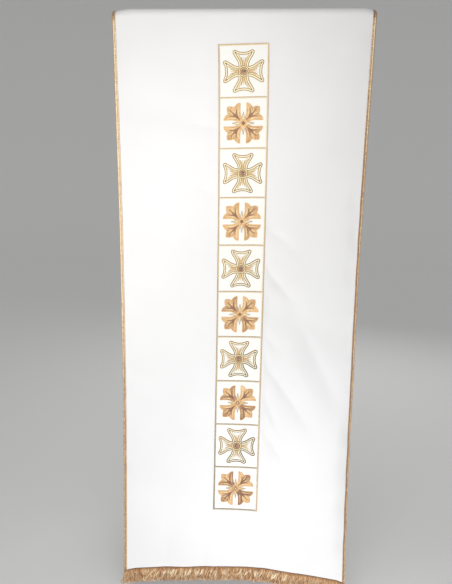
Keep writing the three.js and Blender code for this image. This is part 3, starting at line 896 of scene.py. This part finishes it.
# The leaf crosses: half of a leaf, from its inner edge round its lobes to the diagonal
LEAF_HALF = [
    (2, 9.5), (3.4, 12.4), (5, 16), (6, 20), (6.3, 28), (6.1, 38.2), (8.2, 38.5),
    (12, 37.2), (15.6, 33.8), (17.7, 30.8), (20.2, 31), (24, 32.2), (28.5, 32.1), (31.7, 31.7),
]
LEAF_NOTCH = 9
LEAF_SPLIT = (10.5, 12.0)
MIDDLE_VEIN = [(5.5, 6.2), (12, 12.6), (18.5, 19.5), (25, 26.5)]
SIDE_VEIN = [(11.6, 13), (13.4, 19), (13.6, 27.5)]
# Paler streaks beside the veins, a painted highlight
LIGHT_STREAKS = [[(9.2, 15), (10.2, 22), (9.8, 32)], [(16.5, 20.5), (19.5, 24.5), (21.5, 29)]]
SPIKE = [(0, 8.5), (0, 15), (0, 22)]

# The direction of the stitches in degrees, and their tone, in the side lobes and in the tips
SIDE_LOBE_FILL = (122, 0.68)
TIP_FILL = (74, 0.6)

# How much the side lobes gleam in each leaf's place, anticlockwise from the upper right. The tips, whose
# stitches run the other way, do the opposite
LEAF_GLEAM = [0.16, -0.24, 0.14, -0.34]
TIP_GLEAM = -0.6

# The leaf crosses further down than this share of the way have a pale spot in the middle
SPOT_DEPTH = 0.6

# How the stitches lie, in the columns of CROSS_ROWS, where the change down the cover is painted shade
LEAF_ROWS = {
    "boss": (0, 0.62, 0.6, -0.22, 0.1),
    # The rims are paler as a painted highlight along the leaves' edges, and the streaks as a painted
    # highlight beside the veins
    "rims": (0, 0.75, 0.64, -0.24),
    "streaks": (0.3, 0.6, 0.98, -0.12, 0.04),
    "spot": (1.1, 0.5, 0.95, 0),
    "veins": (0.35, 0.75, 0.6, -0.35, 0.15),
    "knot": (0.35, 0.9, 0.35, 0, 0.2),
    "spikes": (0.2, 0.6, 0.9, -0.5),
    "spike edges": (0.3, 0.5, 0.7, -0.4),
}


def in_place(flat, turn, mirrored):
    """A shape of the first half leaf, moved to another half leaf's place."""
    flat = np.asarray(flat, float)
    return quarter_turns(flat[:, ::-1] if mirrored else flat)[turn]


def middle_vein_width(share):
    return 1.2 + 3.8 * np.exp(-(((share - 0.42) / 0.22) ** 2))


def fill_lobe(lobe, degrees, turn, mirrored):
    angle = radians(90 - degrees if mirrored else degrees) + turn * pi / 2
    return fill_stitches(in_place(lobe, turn, mirrored), angle)


def make_leaf_cross(name, middle, down_share):
    """Four pairs of leaves, in a gold darkened by painted shade the further down the cover they lie."""
    steps = 3
    half, notch = rounded(LEAF_HALF, steps), LEAF_NOTCH * steps
    side_lobe = np.concatenate([half[: notch + 1], [LEAF_SPLIT, (5.0, 5.6)]])
    tip = np.concatenate([[LEAF_SPLIT], half[notch:], [(21.0, 20.6), (8.0, 7.8)]])
    side_angle, side_tone = SIDE_LOBE_FILL
    tip_angle, tip_tone = TIP_FILL
    fills, streaks, veins, rims, spikes, spike_edges = [], [], [], [], [], []

    def batch(kind, stitches):
        return lay_as(LEAF_ROWS[kind], stitches, middle, down_share)

    for turn in range(4):
        shade = random.normal(-0.15, 0.04) - 0.16 * down_share
        for mirrored in (False, True):
            where = (turn, mirrored)
            gleam = LEAF_GLEAM[turn] * down_share * (1.0 if mirrored == (turn % 2 == 1) else 0.8)
            fills.append((fill_lobe(side_lobe, side_angle, *where), side_tone + shade + gleam))
            fills.append((fill_lobe(tip, tip_angle, *where), tip_tone + shade + TIP_GLEAM * gleam))
            rims.append(satin_line(in_place(half[steps:], *where), 0.9, pitch=0.7, slant=0.9))
            for streak in LIGHT_STREAKS:
                streaks.append(satin_line(in_place(rounded(streak), *where), lambda t: 1.6 - t, slant=0.7))
            side_vein = in_place(rounded(SIDE_VEIN), *where)
            veins.append(satin_line(side_vein, lambda t: 2.9 - 1.8 * t, slant=0.6))
        middle_vein = in_place(rounded(MIDDLE_VEIN, 4), turn, False)
        veins.append(satin_line(middle_vein, middle_vein_width, slant=0.4))
        spikes.append(satin_line(in_place(rounded(SPIKE), turn, False), lambda t: 3.2 - 2.8 * t))
        for side in (-1, 1):
            edge = rounded([(side * 1.9, 10), (side * 1.2, 16), (0, 22.3)])
            spike_edges.append(couched(in_place(edge, turn, False), 0.5, 0.8))
    batches = [lay_stitches(fill, middle, STITCH_BASE, 0.6, tone, 0.1, 0.39) for fill, tone in fills]
    batches.append(batch("boss", [fill_stitches(circle(9.4), 0.8)]))
    batches += [batch("rims", rims), batch("streaks", streaks)]
    if down_share > SPOT_DEPTH:
        batches.append(batch("spot", [fill_stitches(circle(1.7, 12), 0.4)]))
    leaves = thread_object(f"{name}_stitches", batches, LEAF_GOLD)
    batches = [batch("veins", veins), batch("knot", [fill_stitches(circle(4.4, 4), 0.4)])]
    veins = thread_object(f"{name}_veins", batches, VEIN_BROWN)
    spikes = thread_object(f"{name}_spikes", [batch("spikes", spikes)], CROSS_GOLD)
    edges = thread_object(f"{name}_edges", [batch("spike edges", spike_edges)], CROSS_EDGE)
    return leaves, [veins, spikes, edges]


# The braids, from the outer edge inwards: a dark edge that laps over the side of the cloth, a wide pale
# cord, a spotted groove and a thin cord. Each cord is a row of slanted stitches: share across the braid,
# width, pitch, lean, rise, and its tone on the left and on the right side
# The lower tones on the right side are painted shade on the right braid
BRAID_CORDS = [
    (0.26, 3.7, 1.5, -0.9, 0.95, 0.68, 0.6),
    (0.55, 2.2, 1.5, 0.9, 0.7, 0.46, 0.3),
    (0.77, 1.8, 1.3, -0.5, 0.85, 0.8, 0.3),
]
BRAID_COLUMNS = [0.0, 0.06, 0.2, 0.4, 0.6, 0.8, 0.94]
BRAID_BASE = CLOTH_THICKNESS + 0.05
BRAID_LAP = 1.0
TAPE_THICKNESS = 0.7
SPOT_SHARE = 0.58
SPOT_PITCH = 4.8


def braid_lap(s):
    """How far the braid's dark edge reaches past the side of the cloth: less in the lower part."""
    return BRAID_LAP * (1 - 0.8 * smooth_share((s - 50) / 350))


def braid_narrowing(side, s):
    """The share of the braid's width that shows: less near the fold and on the right."""
    low = smooth_share(s / 300)
    return 0.64 + 0.16 * low if side < 0 else 0.66 + 0.08 * low


def braid_shade(side, s):
    """How much painted shade darkens the braid's gold low on the front drop and where it turns over the top
    edge.
    """
    turn = 0.6 * np.exp(-(((s - 4) / 12) ** 2))
    if side < 0:
        return turn + 0.04 + 0.36 * smooth_share((s - 450) / 420)
    return turn - 0.13 + 0.37 * smooth_share(s / 350)


def make_braid(name, side):
    def at(share, s):
        return side * (HALF_WIDTH - share * braid_narrowing(side, s) * BRAID_WIDTH)

    def tape_place(share, s, height):
        lap = np.where(share < 0.01, braid_lap(s), 0)
        return on_cloth(at(share, s) + side * lap, s, height)

    columns = np.array(BRAID_COLUMNS if side < 0 else BRAID_COLUMNS[::-1])
    rows = graded(
        FRONT_DROP,
        (FRONT_EDGE_RADIUS, 7),
        (TOP_START, 2),
        (TOP_END, 14),
        (BACK_START, 2.5),
        (BACK_HEM, 14),
    )
    tape_top = BRAID_BASE + TAPE_THICKNESS
    tape = sheet_object(f"{name}_tape", columns, rows, BRAID_BASE, tape_top, BRAID_TAPE, tape_place)
    steps = np.array([-0.5, -0.2, 0.2, 0.5])
    batches = []
    for share, width, pitch, lean, rise, *tones in BRAID_CORDS:
        places = np.arange(BACK_HEM + 1.2, FRONT_DROP - 1.0, pitch)[:, None]
        across = at(share, places) + side * steps * width * braid_narrowing(side, places)
        down = places + steps * lean * pitch * 1.6
        points, normals = on_cloth(across, down, BRAID_BASE + 0.55 + rise * np.array([0.0, 1.0, 1.0, 0.0]))
        # Painted shade lowers the tone low on the front drop and where the braid turns over the top edge
        tone = tones[side > 0] - braid_shade(side, places[:, 0])
        tone = np.clip(tone + random.normal(0, 0.13, len(places)), 0, 1)
        batches.append((points, normals, pitch * 0.56, 0.42, [0.7, 1, 1, 0.7], tone))
    cords = thread_object(f"{name}_cords", batches, BRAID_PALE)
    spots = np.arange(BACK_HEM + 2, FRONT_DROP - 2, SPOT_PITCH)
    spots = (spots + random.normal(0, 0.3, len(spots)))[:, None]
    across = at(SPOT_SHARE, spots) + side * steps * 2.0 * braid_narrowing(side, spots)
    down = spots + steps * 1.6
    points, normals = on_cloth(across, down, BRAID_BASE + 0.8 + np.array([0.3, 0.7, 0.7, 0.3]))
    tones = random.uniform(0.2, 1.0, len(spots))
    batch = (points, normals, 0.85, 0.35, BRAID_TAPER, tones)
    knots = thread_object(f"{name}_knots", [batch], BRAID_BROWN)
    return tape, [cords, knots]


# The fringe
HEADING_CORD = 2.4
THREAD_STEPS = 10
FLARE_START = 0.95

# Layers of threads: count, width, tone, spread of tone, tangle, and how far forward they hang
FRINGE_LAYERS = [
    (900, 0.65, 0.46, 0.14, 1.0, -0.6),
    (1760, 0.6, 0.58, 0.16, 2.6, 0.3),
    # The last layer's high tone is a painted highlight on strands that catch the light
    (140, 0.6, 0.92, 0.06, 5.0, 0.8),
]
LOOSE_STRANDS = 45


def below_hem(across, drop, height):
    """Points below the hem, where the drop follows the cloth's own direction at the hem."""
    across, drop, height = np.broadcast_arrays(*(np.asarray(v, float) for v in (across, drop, height)))
    hem, normals = on_cloth(across, FRONT_DROP, height)
    above = on_cloth(across, FRONT_DROP - 4, height)[0]
    return hem + unit(hem - above) * drop[..., None], normals


def make_heading():
    """The dark cord along the hem that the fringe hangs from. Its dark tone is partly the cord's own colour
    and partly painted shade under the hem.
    """
    starts = np.linspace(-HALF_WIDTH + 0.6, HALF_WIDTH - 0.6, 560)
    steps = np.array([0.0, 0.35, 0.7, 1.0])
    across = starts[:, None] + (steps - 0.5) * 0.9
    heights = 0.6 + np.array([0.0, 1.0, 1.0, 0.0])
    points, normals = below_hem(across, PIECE_GAP + steps * HEADING_CORD, heights)
    tones = np.clip(random.normal(0.22, 0.15, len(starts)), 0, 1)
    return thread_object("fringe_cord", [(points, normals, 0.55, 0.5, BRAID_TAPER, tones)], BRAID_BROWN)


def fringe_threads(count, width, tone, tone_spread, tangle, forward):
    """Fine curled threads that hang from the cord, crowded and a little tangled."""
    across = random.uniform(-HALF_WIDTH + 0.6, HALF_WIDTH - 0.6, count)
    share = across / HALF_WIDTH
    sway = 1.6 * np.sin(share * 19) + 1.2 * np.sin(share * 47 + 1)
    flare = np.sign(share) * CORNER_FLARE * np.clip(np.abs(share) - FLARE_START, 0, 1) / 0.05
    flare = flare * random.uniform(0, 1.3, count)
    lean = sway + flare + random.normal(0, tangle, count)
    length = STRAND_LENGTH + random.normal(0, 0.9, count)
    length = length - np.abs(random.normal(0, 3, count)) * (random.random(count) < 0.3)
    steps = np.linspace(0, 1, THREAD_STEPS)
    root, normals = below_hem(across, PIECE_GAP + 1.6, 1.0 + forward)
    turns = random.uniform(6.0, 15.0, (count, 1))
    phase = random.uniform(0, 2 * pi, (count, 1))
    size = np.abs(random.normal(1.2, 0.6, (count, 1)))
    grow = np.minimum(steps * 3, 1)
    x = lean[:, None] * steps**1.3 + size * np.sin(phase + turns * steps) * grow
    y = size * np.cos(phase + turns * 0.9 * steps) * grow + random.normal(0, 1.2, (count, 1)) * steps
    y = y - 1.6 * grow * (1 + forward)
    z = -length[:, None] * steps
    points = root[:, None, :] + np.stack([x, y, z], axis=-1)
    front = np.broadcast_to(normals[:, None, :], points.shape)
    along = random.normal(0, 0.34, (count, THREAD_STEPS))
    along = (along + np.roll(along, 1, axis=1)) * 0.6
    tones = random.normal(tone, tone_spread, (count, 1)) + along
    # Painted shade under the hem: each thread darkens towards its root
    tones = np.clip(tones * (0.45 + 0.55 * np.minimum(steps * 5, 1)), 0, 1)
    return points, front, np.full(count, width), width, np.linspace(1.0, 0.7, THREAD_STEPS), tones


def loose_strands(count):
    """A few strands that lie slantwise over the fringe, made bright by a painted highlight."""
    across = random.uniform(-0.8, 0.5, count) * HALF_WIDTH
    top, normals = below_hem(across, random.uniform(4, 10, count), 5.0)
    steps = np.linspace(0, 1, 6)
    length = random.uniform(9, 19, (count, 1))
    slant = random.normal(-0.45, 0.25, (count, 1)) * length
    bend = random.normal(0, 1.0, (count, 1)) * np.sin(pi * steps)
    offsets = np.stack([slant * steps + bend, np.zeros_like(bend), -length * steps], axis=-1)
    points = top[:, None, :] + offsets
    front = np.broadcast_to(normals[:, None, :], points.shape)
    tones = np.clip(random.normal(0.97, 0.05, count), 0, 1)
    return points, front, np.full(count, 1.0), 0.5, np.sin(np.pi * (0.15 + 0.7 * steps)), tones


def make_fringe():
    batches = [fringe_threads(*layer) for layer in FRINGE_LAYERS] + [loose_strands(LOOSE_STRANDS)]
    return thread_object("fringe_threads", batches, FRINGE_TAN, ROUND_THREAD)


# Putting the pieces in place
cloth = place(make_cloth(), "white_cloth", "cloth")
sewn_on = [place(make_hem_stitches(), "white_cloth")]
band = place(make_band(), "band_satin", "band")
ladder_pale, ladder_tan = make_ladder()
sewn_on += [place(ladder_pale, "pale_gold", "ladder"), place(ladder_tan, "pale_gold")]

MOTIFS = [(make_cross, "cross", "cross_gold"), (make_leaf_cross, "leaf_cross", "leaf_gold")]
for cell in range(CELL_COUNT):
    make, kind, slot = MOTIFS[cell % 2]
    name = f"{kind}_{cell // 2 + 1}"
    middle = FIRST_RUNG + (cell + 0.5) * CELL_HEIGHT
    sewn_on += place_all(*make(name, middle, cell / (CELL_COUNT - 1)), slot, name)

for side, name in ((-1, "braid_left"), (1, "braid_right")):
    sewn_on += place_all(*make_braid(name, side), "braid_gold", name)

heading, fringe = make_heading(), make_fringe()
sewn_on += [place(fringe, "fringe_gold", "fringe"), place(heading, "fringe_gold")]

# The floor, which sweeps up far behind the cover so that no edge shows
FLOOR_DROP = 0.012
FLOOR_SIZE = 40
SWEEP_START = 6
SWEEP_RADIUS = 5
floor_height = cad_bounds[0].z - FLOOR_DROP
profile = [(-FLOOR_SIZE, 0)]
for turned in np.linspace(0, pi / 2, 25):
    back, rise = sin(turned), 1 - cos(turned)
    profile.append((SWEEP_START + SWEEP_RADIUS * back, SWEEP_RADIUS * rise))
profile.append((SWEEP_START + SWEEP_RADIUS, FLOOR_SIZE))
corners = [(side * FLOOR_SIZE, y, floor_height + z) for y, z in profile for side in (-1, 1)]
strips = [(2 * k, 2 * k + 1, 2 * k + 3, 2 * k + 2) for k in range(len(profile) - 1)]
floor_mesh = bpy.data.meshes.new("floor")
floor_mesh.from_pydata(corners, [], strips)
floor_mesh.polygons.foreach_set("use_smooth", [True] * len(strips))
floor_material, _, _, floor_shader = new_material("pale_floor", 0.85, 0)
floor_shader.inputs["Base Color"].default_value = (0.85, 0.85, 0.845, 1)
floor_mesh.materials.append(floor_material)
floor = add_to_scene("floor", floor_mesh)

# Light
world = bpy.data.worlds.new("studio")
bpy.context.scene.world = world
world.use_nodes = True
background = world.node_tree.nodes["Background"]
background.inputs["Color"].default_value = (0.9, 0.9, 0.9, 1)
background.inputs["Strength"].default_value = 0.44


def add_light(data, name, position, target):
    light = add_to_scene(name, data)
    light.location = position
    light.rotation_mode = "QUATERNION"
    light.rotation_quaternion = (Vector(target) - Vector(position)).to_track_quat("-Z", "Y")
    light.visible_camera = False


def area_light(name, position, target, size, power, colour):
    """A square light. Its size is in metres and its power in watts."""
    data = bpy.data.lights.new(name, "AREA")
    data.shape = "SQUARE"
    data.size = size
    data.energy = power
    data.color = colour
    add_light(data, name, position, target)


area_light("left", (-0.55, -0.55, -0.45), (-0.165, 0.0, -0.45), 0.35, 1.4, (1.0, 0.99, 0.975))
area_light("high", (-0.1, -0.65, -0.2), (-0.03, 0.0, -0.2), 0.4, 2.1, (1.0, 0.998, 0.96))
area_light("low_left", (-0.1, -0.65, -1.1), (-0.03, 0.0, -1.1), 0.4, 1.34, (0.955, 0.985, 1.01))
area_light("low_right", (0.25, -0.65, -1.1), (0.075, 0.0, -1.1), 0.4, 1.54, (0.98, 0.99, 1.01))
area_light("back", (0.5, 1.9, 0.3), (0.0, 0.3, -0.6), 1.2, 8, (1.0, 0.99, 0.97))
sun = bpy.data.lights.new("overhead", "SUN")
sun.energy = 0.15
sun.angle = radians(40)
add_light(sun, "overhead", (0.4, -0.6, 2), (0, 0, 0))

# The camera, at the photograph's place and angle
CAMERA_PLACE = (0.0456, -1.2459, -0.3224)
CAMERA_PITCH = radians(10.70)
CAMERA_YAW = radians(-3.28)
CAMERA_ROLL = radians(-0.78)
FOCAL_LENGTH_PX = 600
PICTURE_HEIGHT_PX = 584

level = cos(CAMERA_PITCH)
forward = Vector((sin(CAMERA_YAW) * level, cos(CAMERA_YAW) * level, -sin(CAMERA_PITCH)))
level_right = Vector((cos(CAMERA_YAW), -sin(CAMERA_YAW), 0))
level_down = forward.cross(level_right)
right = level_right * cos(CAMERA_ROLL) + level_down * sin(CAMERA_ROLL)
down = level_down * cos(CAMERA_ROLL) - level_right * sin(CAMERA_ROLL)
camera_data = bpy.data.cameras.new("camera")
camera_data.sensor_width = 36
camera_data.lens = camera_data.sensor_width * FOCAL_LENGTH_PX / PICTURE_HEIGHT_PX
camera_data.clip_start = 0.01
camera = add_to_scene("camera", camera_data)
turned = Matrix((right, -down, -forward)).transposed().to_4x4()
camera.matrix_world = Matrix.Translation(CAMERA_PLACE) @ turned
bpy.context.scene.camera = camera
bpy.context.scene.view_settings.view_transform = "Standard"
